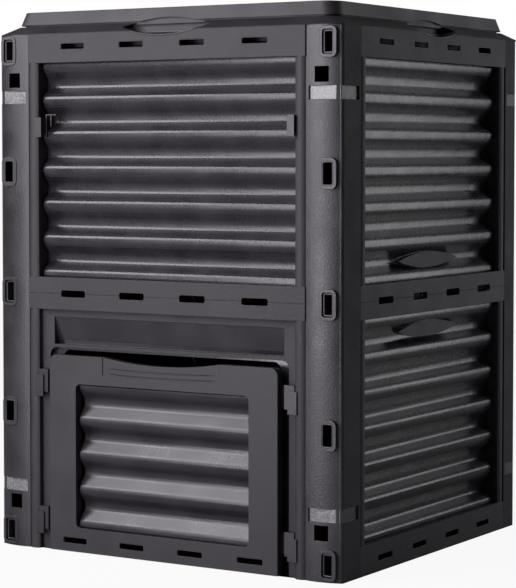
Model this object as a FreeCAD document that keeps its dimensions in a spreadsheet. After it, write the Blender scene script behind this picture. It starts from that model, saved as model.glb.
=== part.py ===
import FreeCAD, Part
import math
import os

import Sketcher

# Compost bin with a hinged lid and a lift-out door, in black moulded plastic.
# Frame: origin at the bottom centre, +Z up, the door faces -Y, sizes in millimetres.

os.makedirs("parts", exist_ok=True)
doc = FreeCAD.newDocument("compost_bin")
sheet = doc.addObject("Spreadsheet::Sheet", "Sizes")

SIZES = (
    # Overall form
    ("width", 610, "over the corner posts, left to right"),
    ("depth", 594, "over the corner posts, front to back"),
    ("body_height", 791, "ground to the top of the walls"),
    ("wall", 2.2, "general moulded wall"),
    ("fit", 0.3, "gap between two pieces that meet"),
    # Corner posts
    ("post_width", 58, "side of the square that a post fills"),
    ("post_shoulder", 2, "how far the rounded face falls back towards the panel"),
    ("post_bulge", 6, "how far it falls back towards the outer edge"),
    ("post_edge", 4.5, "rounding of the outer edge of a front post"),
    ("rear_round", 24, "length of the rounding on the outer edge of a rear post"),
    ("post_wall", 3, "wall of a corner post"),
    ("ring_inset", 21, "side plane to the middle of the ringed slots"),
    ("rear_ring_inset", 29, "the same at the rear posts"),
    ("ring_width", 18.5, "ringed slot, width"),
    ("ring_height", 35, "ringed slot, height"),
    ("ring_rim", 4.7, "width of the raised ring round the slot"),
    ("ring_proud", 1, "how far the ring stands past the front plane"),
    ("ring_radius", 4, "corner radius of the slot"),
    ("ring_end", 24.5, "post end to the middle of the first slot"),
    ("peg_inset", 31.5, "side plane to the middle of the square holes"),
    ("peg_size", 22, "side of the square holes"),
    ("peg_end", 70, "post end to the middle of a square hole"),
    ("notch_end", 86, "post end to the nearer edge of a notch band"),
    ("notch_height", 19.5, "height of a notch band"),
    ("notch_front", 4, "depth of the notch on the rounded face"),
    ("notch_side", 2.5, "depth of the notch on the side face"),
    ("notch_rim", 5, "what stays of the rounded face beside the notch"),
    # Wall panels
    ("jamb", 17.7, "upright border of a panel"),
    ("jamb_round", 3, "how far its rounded face falls back at the edges"),
    ("band", 44, "border at the top of the upper and the foot of the lower panels"),
    ("seam_band", 24.4, "border at the seam between upper and lower panels"),
    ("frame_depth", 30, "depth of a panel's border"),
    ("crest_depth", 11, "front plane to the crests of the corrugation"),
    ("wave_depth", 16, "crest to trough"),
    ("upper_share", 0.385, "upper panels: share of a wave that faces up"),
    ("lower_share", 0.3, "lower panels: the same"),
    ("up_round", 0.7, "radius of the faces that look up, as a share of the largest that fits"),
    ("down_round", 0.9, "the same for the faces that look down"),
    ("wave_start", 6.3, "window's foot to the lowest crest"),
    ("wave_count", 6, "waves in a panel"),
    ("vent_slit", 3, "open slit at each end of the corrugation"),
    ("groove", 2, "height of the groove over and under the corrugation"),
    ("groove_deep", 6, "depth of that groove, from the crests"),
    ("lip", 8, "how far the jamb's rear lip reaches in behind the corrugation's end"),
    ("slot_width", 44.7, "band slot, width"),
    ("slot_height", 10.2, "band slot, height"),
    ("slot_radius", 3, "band slot, corner radius"),
    ("slot_pitch", 108.3, "band slot to band slot"),
    ("slot_end", 19.8, "panel's end to the middle of the band slots"),
    ("tab_thick", 3, "snap tab, thickness"),
    ("tab_height", 28, "snap tab, height"),
    ("tab_depth", 23, "panel's face to a snap tab"),
    ("tab_reach", 34, "how far a side panel's tab reaches into the post"),
    ("tab_short", 8.8, "the same for the front and rear panels"),
    ("tab_window", 2, "room round a tab in the post's wall"),
    ("plate_half", 97, "blank oval plate, half length"),
    ("plate_rise", 12, "blank oval plate, half height"),
    ("plate_back", 4, "crests to the plate's face"),
    ("plate_level", 28, "window's edge at the seam to the plate's middle"),
    # Door and its opening in the front lower panel
    ("leaf_depth", 11, "front plane to the plate round the door"),
    ("hole_half", 214, "door opening, half width"),
    ("hole_top", 312, "door opening, top edge above the ground"),
    ("hole_radius", 12, "corner radius of the opening"),
    ("header_half", 206, "header recess, half width"),
    ("header_low", 317, "header recess, lower edge"),
    ("header_high", 359, "header recess, upper edge"),
    ("header_brow", 1.5, "depth of the header recess behind the plate, at its upper edge"),
    ("header_drop", 12, "the same at its lower edge"),
    ("rebate_depth", 9, "depth of the door's rebate behind the plate"),
    ("way_half", 195, "clear way through the rebate, half width"),
    ("way_low", 10, "clear way, lower edge above the ground"),
    ("way_high", 308, "clear way, upper edge above the ground"),
    ("door_half", 204, "door, half width"),
    ("door_low", 2, "door's foot above the ground"),
    ("door_top", 302, "door's top edge above the ground"),
    ("door_proud", 4.5, "how far the door's face stands past the front plane"),
    ("door_depth", 15, "depth of the door's border"),
    ("door_radius", 12, "radius of the door's top corners"),
    ("light_half", 155, "door's corrugated field, half width"),
    ("light_low", 39, "door's corrugated field, lower edge"),
    ("light_high", 259, "door's corrugated field, upper edge"),
    ("light_radius", 8, "corner radius of that field"),
    ("light_crest", 6.3, "door's face to the crests"),
    ("light_wave", 13.3, "crest to trough in the door"),
    ("light_start", 45, "ground to the door's lowest crest"),
    ("light_count", 4, "waves in the door"),
    ("light_share", 0.47, "share of a wave that faces up in the door"),
    ("door_slot_pitch", 104.7, "door slot to door slot"),
    ("door_slot_level", 19, "ground to the middle of the door slots"),
    ("dip_half", 105, "finger dip in the door's top edge, half length"),
    ("dip_drop", 9, "depth of that dip"),
    ("grip_recess", 1.2, "depth of the grip's field under the dip"),
    ("grip_sag", 4.5, "how far that field's lower edge sags"),
    ("grip_foot", 275, "ground to the ends of that edge"),
    ("groove_half", 98, "two grooves across the grip's field, half length"),
    ("groove_drop", 1.5, "depth of those grooves"),
    ("groove_high", 285.5, "ground to the ends of the upper groove"),
    ("groove_low", 277.5, "ground to the ends of the lower groove"),
    ("groove_sag", 1.5, "how far the upper edge of a groove sags"),
    ("groove_thick", 3.2, "height of a groove at its middle"),
    ("lug_reach", 14, "how far a door lug stands out from the door's side"),
    ("lug_height", 32, "door lug, height"),
    ("lug_thick", 3.2, "door lug, thickness"),
    # Clips on the front
    ("clip_reach", 17, "how far a clip's tongue stands in from the jamb"),
    ("clip_tongue", 35, "height of a clip's tongue"),
    ("clip_pad", 33, "height of a clip's pad"),
    ("clip_pad_in", 10, "pad's inner edge, in from the jamb's edge"),
    ("clip_pad_out", 5, "pad's outer edge, out from the jamb's edge"),
    ("clip_shift", 6.5, "how far the pad sits below its tongue"),
    ("clip_proud", 2, "how far the pad stands out of the front plane"),
    ("clip_back", 6, "front plane to the back of the tongue"),
    ("clip_low", 31, "ground to the foot of the lower tongues"),
    ("clip_high", 243, "ground to the foot of the upper tongues"),
    ("clip_wall", 634, "ground to the foot of the blocks and the hook on the upper panel"),
    ("block_pad", 30, "height of the blocks on the upper panel"),
    ("block_out", 2, "their outer edge, out from the jamb's edge"),
    ("block_proud", 4.4, "how far they stand out of the front plane"),
    ("hook_in", 10, "jamb's edge to the hook beside the left block"),
    ("hook_width", 20, "that hook, width"),
    ("hook_height", 35, "that hook, height"),
    ("hook_bar", 2, "that hook, thickness of its bars"),
    ("hook_front", 3.5, "how far the hook stands in front of the crests"),
    # Collar, lid and hinges
    ("roof_run", 20.5, "width of the collar's sloping face"),
    ("roof_rise", 12.3, "rise of the collar's sloping face"),
    ("roof_radius", 14, "corner radius at the collar's foot"),
    ("neck_inset", 24.5, "side plane to the collar's upright neck"),
    ("neck_top", 21, "top of the walls to the top of the neck"),
    ("plug_drop", 20, "how far the collar reaches down inside the walls"),
    ("lid_foot", 15, "top of the walls to the lid's lower edge"),
    ("lid_top", 35, "top of the walls to the lid's top"),
    ("lid_inset", 19.5, "side plane to the lid's lower edge"),
    ("lid_lean", 6, "how far the lid's skirt leans in"),
    ("lid_radius", 22, "corner radius of the lid"),
    ("lid_border", 30, "flat border round the lid's field"),
    ("lid_field_drop", 4, "how far the field lies below the border"),
    ("lid_ribs", 7, "ribs across the field"),
    ("lid_rib_pitch", 60, "rib to rib"),
    ("lid_rib_radius", 6, "section radius of a rib"),
    ("lid_rib_rise", 2.5, "how far a rib stands up"),
    ("grip_half", 78, "finger grip, half length"),
    ("grip_low", -6, "top of the walls to the grip's lowest point"),
    ("grip_high", 20, "top of the walls to the grip's highest point"),
    ("hinge_x", 180, "middle of the bin to the middle of a hinge"),
    ("hinge_proud", 4.5, "how far the hinge stands past the rear plane"),
    ("hinge_z", 17.5, "top of the walls to the hinge axis"),
    ("pin_radius", 3, "hinge pin, radius"),
    ("pin_play", 0.05, "hinge pin to its bore"),
    ("ear_radius", 5.2, "hinge ear, outer radius"),
    ("ear_thick", 6, "hinge ear, thickness"),
    ("knuckle", 24, "lid's knuckle, length"),
    ("knuckle_play", 0.5, "knuckle to ear"),
)


class Size:
    """A number together with the sheet expression that gives it."""

    def __init__(self, value, text):
        self.value = float(value)
        self.text = text

    def _join(self, sign, other, value):
        return Size(value, "(%s %s %s)" % (self.text, sign, other.text))

    def __add__(self, other):
        other = as_size(other)
        return self._join("+", other, self.value + other.value)

    def __sub__(self, other):
        other = as_size(other)
        return self._join("-", other, self.value - other.value)

    def __mul__(self, other):
        other = as_size(other)
        return self._join("*", other, self.value * other.value)

    def __truediv__(self, other):
        other = as_size(other)
        return self._join("/", other, self.value / other.value)

    def __neg__(self):
        return self * -1

    def __lt__(self, other):
        return self.value < as_size(other).value


def as_size(value):
    """A plain number counts as a size whose expression is the number itself."""
    if isinstance(value, Size):
        return value
    return Size(value, repr(value) if value >= 0 else "(%r)" % value)


class Sheet:
    """The driving sizes, each under its own name."""


s = Sheet()
for row, (alias, number, meaning) in enumerate(SIZES, start=1):
    sheet.set("A%d" % row, meaning)
    sheet.set("B%d" % row, str(number))
    sheet.setAlias("B%d" % row, alias)
    setattr(s, alias, Size(number, "Sizes." + alias))
doc.recompute()

half_x = s.width / 2
half_y = s.depth / 2
panel_height = (s.body_height - s.fit) / 2
upper_foot = s.body_height - panel_height
CUT_OVER = 5


def span(first, second):
    """Two sizes as a low and a high end."""
    first, second = as_size(first), as_size(second)
    return (second, first) if second < first else (first, second)


def middle(half):
    """The span from -half to +half."""
    return span(-half, half)


def around(centre, length):
    """The span of that length round a centre."""
    return span(centre - length / 2, centre + length / 2)


# Document objects


def new_body(name):
    """A body whose label is the sub-part's name."""
    body = doc.addObject("PartDesign::Body", name)
    body.Label = name
    return body


def box(body, kind, name, x, y, z):
    """An additive or subtractive box in a body, bound to the sheet."""
    feature = body.newObject("PartDesign::%sBox" % kind, name)
    for prop, axis, (low, high) in (("Length", "x", x), ("Width", "y", y), ("Height", "z", z)):
        feature.setExpression(prop, (high - low).text)
        feature.setExpression("Placement.Base." + axis, low.text)
    doc.recompute()
    return feature


def add(body, name, x, y, z):
    """Material over three spans."""
    return box(body, "Additive", name, x, y, z)


def remove(body, name, x, y, z):
    """A void over three spans."""
    return box(body, "Subtractive", name, x, y, z)


def sketch_on(body, name, role, offset=None):
    """A sketch on one of the body's own origin planes, moved along the plane's normal."""
    sketch = body.newObject("Sketcher::SketchObject", name)
    plane = [f for f in body.Origin.OriginFeatures if f.Role == role][0]
    sketch.AttachmentSupport = (plane, [""])
    sketch.MapMode = "FlatFace"
    if offset is not None:
        sketch.setExpression("AttachmentOffset.Base.z", offset.text)
    return sketch


def bind(sketch, kind, *args):
    """One dimension of a sketch, taken from the sheet. The last argument is the size."""
    size = args[-1]
    index = sketch.addConstraint(Sketcher.Constraint(kind, *args[:-1], size.value))
    sketch.setExpression("Constraints[%d]" % index, size.text)


def hold(sketch, kind, geo, pos, size):
    """Places a point at a signed distance from the sketch's origin."""
    if size.value < 0:
        bind(sketch, kind, geo, pos, -1, 1, -size)
    else:
        bind(sketch, kind, -1, 1, geo, pos, size)


def rounded(sketch, x, y, radius):
    """A rectangle with rounded corners, every size bound."""
    x0, x1, y0, y1, r = x[0].value, x[1].value, y[0].value, y[1].value, radius.value
    corners = ((x1 - r, y0 + r, -90), (x1 - r, y1 - r, 0), (x0 + r, y1 - r, 90), (x0 + r, y0 + r, 180))
    lines = (((x0 + r, y0), (x1 - r, y0)), ((x1, y0 + r), (x1, y1 - r)),
             ((x1 - r, y1), (x0 + r, y1)), ((x0, y1 - r), (x0, y0 + r)))
    for start, end in lines:
        sketch.addGeometry(Part.LineSegment(FreeCAD.Vector(*start), FreeCAD.Vector(*end)))
    for cx, cy, turn in corners:
        circle = Part.Circle(FreeCAD.Vector(cx, cy), FreeCAD.Vector(0, 0, 1), r)
        sketch.addGeometry(Part.ArcOfCircle(circle, math.radians(turn), math.radians(turn + 90)))
    for line in range(4):
        arc = 4 + line
        sketch.addConstraint(Sketcher.Constraint("Tangent", line, 2, arc, 1))
        sketch.addConstraint(Sketcher.Constraint("Tangent", arc, 2, (line + 1) % 4, 1))
    for line, kind in enumerate(("Horizontal", "Vertical", "Horizontal", "Vertical")):
        sketch.addConstraint(Sketcher.Constraint(kind, line))
    for arc in (5, 6, 7):
        sketch.addConstraint(Sketcher.Constraint("Equal", 4, arc))
    bind(sketch, "Radius", 4, radius)
    hold(sketch, "DistanceY", 0, 1, y[0])
    hold(sketch, "DistanceX", 1, 1, x[1])
    hold(sketch, "DistanceY", 2, 1, y[1])
    hold(sketch, "DistanceX", 3, 1, x[0])


def pad(body, name, sketch, length, reverse=False, midplane=False):
    """Material along a sketch's normal."""
    feature = body.newObject("PartDesign::Pad", name)
    feature.Profile = sketch
    feature.setExpression("Length", length.text)
    feature.Reversed = reverse
    feature.Midplane = midplane
    doc.recompute()
    return feature


def pocket(body, name, sketch, length, reverse=False, midplane=False):
    """A void against a sketch's normal, checked for having cut something."""
    before = body.Shape.Volume
    feature = body.newObject("PartDesign::Pocket", name)
    feature.Profile = sketch
    feature.setExpression("Length", length.text)
    feature.Reversed = reverse
    feature.Midplane = midplane
    doc.recompute()
    if not body.Shape.Volume < before:
        raise RuntimeError("%s cut nothing" % name)
    return feature


def row(body, name, feature, role, pitch, count):
    """A feature repeated along one of the body's axes."""
    pattern = body.newObject("PartDesign::LinearPattern", name)
    pattern.Originals = [feature]
    axis = [f for f in body.Origin.OriginFeatures if f.Role == role][0]
    pattern.Direction = (axis, [""])
    pattern.setExpression("Length", (pitch * (count - 1)).text)
    pattern.setExpression("Occurrences", count.text)
    body.Tip = pattern
    doc.recompute()
    return pattern


def place(body, x, y, z, turn=0):
    """Stands a body at its place, turned about Z."""
    body.Placement.Rotation = FreeCAD.Rotation(FreeCAD.Vector(0, 0, 1), turn)
    for axis, size in (("x", x), ("y", y), ("z", z)):
        body.setExpression("Placement.Base." + axis, as_size(size).text)


# Corrugation: an arc round each crest and each trough, and a straight slope between them


def flank(rise, drop, share):
    """Radius and angle of a slope whose arcs are that share of the largest that fit."""
    radius = share * (rise * rise + drop * drop) / (4 * drop)
    centres = math.hypot(rise, drop - 2 * radius)
    return radius, math.atan2(drop - 2 * radius, rise) + math.asin(2 * radius / centres)


def wave_lines(front, drop, rise, fall, thick):
    """The closed outline of one wave, in depth and height, from crest to crest."""
    up_radius, up_angle = flank(rise, drop, s.up_round.value)
    down_radius, down_angle = flank(fall, drop, s.down_round.value)
    height = rise + fall
    arcs = (
        (front + up_radius, 0, up_radius, -1, 1, (0, up_angle / 2, up_angle)),
        (front + drop - up_radius, rise, up_radius, 1, -1, (up_angle, up_angle / 2, 0)),
        (front + drop - down_radius, rise, down_radius, 1, 1, (0, down_angle / 2, down_angle)),
        (front + down_radius, height, down_radius, -1, -1, (down_angle, down_angle / 2, 0)),
    )
    edges = []
    ends = []
    for skin in (0, thick):
        knots = []
        for centre, level, radius, side, sign, turns in arcs:
            reach = radius + skin * side
            knots.append([FreeCAD.Vector(centre + side * reach * math.cos(turn),
                                         level + sign * reach * math.sin(turn), 0) for turn in turns])
        for first, second in ((0, 1), (2, 3)):
            edges.append(Part.Arc(*knots[first]))
            edges.append(Part.LineSegment(knots[first][2], knots[second][0]))
            edges.append(Part.Arc(*knots[second]))
        ends.append((knots[0][0], knots[3][2]))
    for front_end, back_end in zip(*ends):
        edges.append(Part.LineSegment(front_end, back_end))
    return edges


def corrugate(body, name, front, drop, share, window, start, count, half):
    """A corrugated sheet in a window, its lowest crest at the level start, a groove over and under it."""
    low, high = window[0] + s.groove, window[1] - s.groove
    pitch = (high - start) / count
    rise = pitch * share
    add(body, name + "_foot", middle(half), span(front, front + s.wall), span(low, start))
    sketch = sketch_on(body, name + "_profile", "YZ_Plane")
    for edge in wave_lines(front.value, drop.value, rise.value, (pitch - rise).value, s.wall.value):
        sketch.addGeometry(edge)
    sketch.setExpression("AttachmentOffset.Base.y", start.text)
    wave = pad(body, name, sketch, half * 2, midplane=True)
    row(body, name + "_row", wave, "Z_Axis", pitch, count)
    back = front + s.groove_deep
    for word, inner, outer, side in (("foot", low, window[0], 1), ("head", high, window[1], -1)):
        add(body, "%s_%s_shelf" % (name, word), middle(half), span(front + s.wall / 2, back + s.wall),
            span(inner, inner + s.wall * side))
        add(body, "%s_%s_back" % (name, word), middle(half), span(back, back + s.wall),
            span(inner, outer - s.wall / 2 * side))


def lens(sketch, half, low, high, tip=None):
    """A lens between two arcs that meet at -half and +half, low and high being their middles."""
    tip = tip or (low + high) / 2
    left, right = FreeCAD.Vector(-half.value, tip.value), FreeCAD.Vector(half.value, tip.value)
    for level in (low, high):
        sketch.addGeometry(Part.Arc(left, FreeCAD.Vector(0, level.value), right))


# Corner posts


def post_outline(side, end, inset):
    """A post's section, or the section of its cavity when it is inset by the wall."""
    inner_x, inner_y = half_x - s.post_width + inset, half_y - s.post_width + inset
    outer_x, edge_y = half_x - inset, half_y - s.post_bulge - inset
    front = end < 0
    rounded_x = outer_x - (s.post_edge if front else s.rear_round * 2 / 3)
    falls = [math.sqrt(fall.value) for fall in (s.post_shoulder, s.post_bulge)]
    crown_x = inner_x + (rounded_x - inner_x) * (falls[0] / sum(falls))

    def at(x, y):
        return FreeCAD.Vector(side * x.value, end * y.value, 0)

    foot, shoulder = at(inner_x, inner_y), at(inner_x, half_y - s.post_shoulder - inset)
    crown, brow = at(crown_x, half_y - inset), at(rounded_x, edge_y)
    outline = [Part.LineSegment(foot, shoulder), Part.Arc(shoulder, crown, brow)]
    if front:
        lip = at(outer_x, edge_y - s.post_edge)
        turn = at(outer_x - s.post_edge * 0.3, edge_y - s.post_edge * 0.3)
    else:
        lip = at(outer_x, half_y - s.rear_round)
        turn = at(outer_x - s.rear_round * 0.22, half_y - inset - s.rear_round * 0.54)
    outline.append(Part.Arc(brow, turn, lip))
    heel = at(outer_x, inner_y)
    return outline + [Part.LineSegment(lip, heel), Part.LineSegment(heel, foot)]


def post_tube(body, name, side, end, wall, low, high):
    """A length of the post's tube with the given wall."""
    section = sketch_on(body, name + "_section", "XY_Plane", low)
    for inset in (as_size(0), wall):
        for edge in post_outline(side, end, inset):
            section.addGeometry(edge)
    return pad(body, name, section, high - low)


def post(name, side, end):
    """One full-height post. side is -1 at the left, end is -1 at the front."""
    body = new_body(name)
    inner_x, inner_y = half_x - s.post_width, half_y - s.post_width
    front = end < 0
    post_tube(body, name + "_shaft", side, end, s.post_wall, as_size(0), s.body_height)
    notches = (("low", s.notch_end), ("high", s.body_height - s.notch_end - s.notch_height))
    for word, low in notches:
        post_tube(body, "%s_%s_liner" % (name, word), side, end, s.post_wall + s.notch_front,
                  low - s.post_wall, low + s.notch_height + s.post_wall)

    ring_x = (half_x - (s.ring_inset if front else s.rear_ring_inset)) * side
    ring_pitch = (s.body_height - s.ring_end * 2) / 4
    plane_y = half_y + s.ring_proud
    normal = plane_y if front else -plane_y
    ring_depth = s.ring_proud + s.post_bulge + s.post_wall
    ring = sketch_on(body, name + "_ring_outline", "XZ_Plane", normal)
    rounded(ring, around(ring_x, s.ring_width + s.ring_rim * 2),
            around(s.ring_end, s.ring_height + s.ring_rim * 2), s.ring_radius + s.ring_rim)
    first = pad(body, name + "_ring", ring, ring_depth, reverse=front)
    row(body, name + "_rings", first, "Z_Axis", ring_pitch, as_size(5))
    mouth = sketch_on(body, name + "_mouth_outline", "XZ_Plane", normal)
    rounded(mouth, around(ring_x, s.ring_width), around(s.ring_end, s.ring_height), s.ring_radius)
    first = pocket(body, name + "_mouth", mouth, ring_depth + CUT_OVER, reverse=not front)
    row(body, name + "_mouths", first, "Z_Axis", ring_pitch, as_size(5))

    outside_y = (half_y + CUT_OVER) * end
    for word, level in (("low", s.peg_end), ("high", s.body_height - s.peg_end)):
        remove(body, "%s_peg_%s" % (name, word), around((half_x - s.peg_inset) * side, s.peg_size),
               span((half_y - s.post_bulge - s.post_wall * 2) * end, outside_y), around(level, s.peg_size))
    for word, low in notches:
        levels = span(low, low + s.notch_height)
        remove(body, "%s_notch_%s" % (name, word),
               span((inner_x + s.notch_rim) * side, (half_x + CUT_OVER) * side),
               span((half_y - s.notch_front) * end, outside_y), levels)
        remove(body, "%s_side_notch_%s" % (name, word),
               span((half_x - s.notch_side) * side, (half_x + CUT_OVER) * side),
               span((inner_y + s.notch_rim) * end, outside_y), levels)

    tab_x = span((half_x - s.tab_depth - s.tab_thick - s.tab_window) * side,
                 (half_x - s.tab_depth + s.tab_window) * side)
    tab_y = span((half_y - s.tab_depth - s.tab_thick - s.tab_window) * end,
                 (half_y - s.tab_depth + s.tab_window) * end)
    tall = s.tab_height + s.tab_window * 2
    for index, level in enumerate((s.ring_end, s.body_height / 2, s.body_height - s.ring_end)):
        remove(body, "%s_tab_window_%d" % (name, index), tab_x,
               span((inner_y - CUT_OVER) * end, (inner_y + s.post_wall + CUT_OVER) * end),
               around(level, tall))
    for index, level in enumerate((s.peg_end, s.body_height - s.peg_end)):
        remove(body, "%s_side_window_%d" % (name, index),
               span((inner_x - CUT_OVER) * side, (inner_x + s.post_wall + CUT_OVER) * side), tab_y,
               around(level, tall))
    return body


# Wall panels. In its own frame a panel's face is the plane y = 0, it looks along -Y and stands on z = 0.


class Levels:
    """Heights in a panel: measured from the seam edge, up in upper and down in lower panels."""

    def __init__(self, upper):
        self.upper = upper

    def __call__(self, first, second):
        if self.upper:
            return span(first, second)
        return span(panel_height - first, panel_height - second)


def hollow_jambs(body, name, half, opening, reach):
    """Hollows out the upright borders from the back."""
    for word, side in (("left", -1), ("right", 1)):
        remove(body, "%s_hollow_%s" % (name, word),
               span((opening + s.wall) * side, (half - s.wall) * side),
               span(s.wall + s.jamb_round, s.frame_depth + CUT_OVER), reach)


def jamb_lips(body, name, opening, z):
    """Lips along the rear edges of the upright borders, behind the ends of the corrugation."""
    for word, side in (("left", -1), ("right", 1)):
        add(body, "%s_lip_%s" % (name, word), span((opening - s.lip) * side, (opening + s.wall / 2) * side),
            span(s.frame_depth - s.wall, s.frame_depth), span(z[0] - s.wall / 2, z[1] + s.wall / 2))


def round_jambs(body, name, half, opening, z):
    """Rounds the faces of the upright borders between two levels."""
    section = sketch_on(body, name + "_round_section", "XY_Plane", z[0])
    crown = (half + opening) / 2
    for side in (-1, 1):
        corners = [FreeCAD.Vector(x.value * side, y.value, 0) for x, y in (
            (opening, s.jamb_round), (opening, as_size(-CUT_OVER)), (half, as_size(-CUT_OVER)),
            (half, s.jamb_round), (crown, s.fit / -3))]
        for first, second in zip(corners[:3], corners[1:4]):
            section.addGeometry(Part.LineSegment(first, second))
        section.addGeometry(Part.Arc(corners[3], corners[4], corners[0]))
    pocket(body, name + "_round", section, z[1] - z[0], reverse=True)


def band_slots(body, name, front, depth, level, pitch):
    """A row of four rounded slots through a face at the depth front, level being their edges."""
    outline = sketch_on(body, name + "_outline", "XZ_Plane", as_size(CUT_OVER) - front)
    rounded(outline, around(pitch * -1.5, s.slot_width), level, s.slot_radius)
    slot = pocket(body, name, outline, depth + CUT_OVER)
    row(body, name + "_row", slot, "X_Axis", pitch, as_size(4))


def snap_tabs(body, name, half, level, into_front):
    """Tabs that reach into the posts: behind the ringed slots, or behind the square holes."""
    depth = span(s.tab_depth, s.tab_depth + s.tab_thick)
    if into_front:
        reach = s.tab_reach
        ends = (panel_height - s.ring_end - s.tab_height / 2, panel_height - s.ring_end + s.tab_height / 2)
        spans = (level(0, s.tab_height / 2), level(*ends))
    else:
        reach = s.tab_short
        ends = (panel_height - s.peg_end - s.tab_height / 2, panel_height - s.peg_end + s.tab_height / 2)
        spans = (level(*ends),)
    for index, z in enumerate(spans):
        for word, side in (("left", -1), ("right", 1)):
            add(body, "%s_tab_%s_%d" % (name, word, index),
                span((half - s.wall) * side, (half + reach) * side), depth, z)


def wall_panel(name, upper, wide, plate=True):
    """A corrugated panel. wide ones stand at the front and back, the others between them."""
    body = new_body(name)
    level = Levels(upper)
    half = (half_x if wide else half_y) - s.post_width - s.fit
    opening = half - s.jamb
    field = level(s.seam_band, panel_height - s.band)
    add(body, name + "_slab", middle(half), span(0, s.frame_depth), span(0, panel_height))
    remove(body, name + "_window", middle(opening), span(-CUT_OVER, s.frame_depth + CUT_OVER), field)
    hollow_jambs(body, name, half, opening, span(s.wall, panel_height - s.wall))
    back = span(s.wall, s.frame_depth + CUT_OVER)
    inner = middle(opening + s.wall)
    remove(body, name + "_band_hollow", inner, back,
           level(panel_height - s.band + s.wall, panel_height - s.wall))
    remove(body, name + "_seam_hollow", inner, back, level(s.wall, s.seam_band - s.wall))
    slot_middle = panel_height - s.slot_end
    seam_half = (s.slot_height - s.fit) / 2
    band_slots(body, name + "_band_slot", as_size(0), s.wall * 2,
               level(slot_middle - s.slot_height / 2, slot_middle + s.slot_height / 2), s.slot_pitch)
    band_slots(body, name + "_seam_slot", as_size(0), s.frame_depth + CUT_OVER,
               level(-seam_half, seam_half), s.slot_pitch)
    round_jambs(body, name, half, opening, field)
    jamb_lips(body, name, opening, field)
    corrugate(body, name + "_wave", s.crest_depth, s.wave_depth, s.upper_share if upper else s.lower_share,
              field, field[0] + s.wave_start, s.wave_count, opening - s.vent_slit)
    if plate:
        centre = field[0] + s.plate_level if upper else field[1] - s.plate_level
        face, rear = s.crest_depth + s.plate_back, s.crest_depth + s.wave_depth + s.wall / 2
        outline = sketch_on(body, name + "_plate_outline", "XZ_Plane", -face)
        lens(outline, s.plate_half, centre - s.plate_rise, centre + s.plate_rise)
        pad(body, name + "_plate", outline, rear - face, reverse=True)
        inside = sketch_on(body, name + "_plate_inside", "XZ_Plane", -(face + s.wall))
        rise = s.plate_rise - s.wall
        lens(inside, s.plate_half - s.wall * 4, centre - rise, centre + rise)
        pocket(body, name + "_plate_hollow", inside, s.frame_depth)
    snap_tabs(body, name, half, level, into_front=not wide)
    return body


def grip_notch(body, name, top, margin, depth):
    """The dip under a finger grip, in the top edge of an upper panel."""
    outline = sketch_on(body, name + "_grip_outline", "XZ_Plane", as_size(CUT_OVER))
    lens(outline, s.grip_half + margin, top + s.grip_low - margin, top + s.grip_high)
    pocket(body, name + "_grip", outline, depth + CUT_OVER)


for place_name, turn, wide in (("front", 0, True), ("right", 90, False), ("rear", 180, True),
                               ("left", 270, False)):
    at_x = {"right": half_x, "left": -half_x}.get(place_name, as_size(0))
    at_y = {"front": -half_y, "rear": half_y}.get(place_name, as_size(0))
    panel = wall_panel(place_name + "_upper_panel", True, wide, plate=place_name != "front")
    grip_notch(panel, place_name + "_upper_panel", panel_height, s.wall + s.fit, s.neck_inset)
    if place_name == "front":
        front_upper = panel
    place(panel, at_x, at_y, upper_foot, turn)
    if place_name != "front":
        panel = wall_panel(place_name + "_lower_panel", False, wide)
        place(panel, at_x, at_y, 0, turn)

for end_name, end in (("front", -1), ("rear", 1)):
    for side_name, side in (("left", -1), ("right", 1)):
        post("corner_post_%s_%s" % (end_name, side_name), side, end)

# The hook beside the left block on the front upper panel

jamb_edge = half_x - s.post_width - s.fit - s.jamb
hook_x = s.hook_in - jamb_edge
hook_z = span(s.clip_wall - upper_foot, s.clip_wall - upper_foot + s.hook_height)
hook_y = span(s.crest_depth - s.hook_front, s.crest_depth + s.wall)
add(front_upper, "hook_bar_long", span(hook_x, hook_x + s.hook_bar), hook_y, hook_z)
add(front_upper, "hook_bar_top", span(hook_x, hook_x + s.hook_width), hook_y,
    span(hook_z[1] - s.hook_bar, hook_z[1]))
add(front_upper, "hook_bar_short", around(hook_x + s.hook_width / 2, s.hook_bar), hook_y,
    span(hook_z[1] - s.hook_height * 0.55, hook_z[1]))

# Front lower panel: the frame that the door hangs in


def cove(body, name, front, margin):
    """The section of the header recess, or of the shell round it, from the depth front."""
    section = sketch_on(body, name, "YZ_Plane")
    low, high = s.header_low - margin, s.header_high + margin
    knots = [FreeCAD.Vector(y.value, z.value, 0) for y, z in (
        (front, low), (front, high), (s.leaf_depth + s.header_brow + margin, high),
        (s.leaf_depth + s.header_drop + margin, low))]
    for first, second in zip(knots, knots[1:] + knots[:1]):
        section.addGeometry(Part.LineSegment(first, second))
    return section


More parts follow.
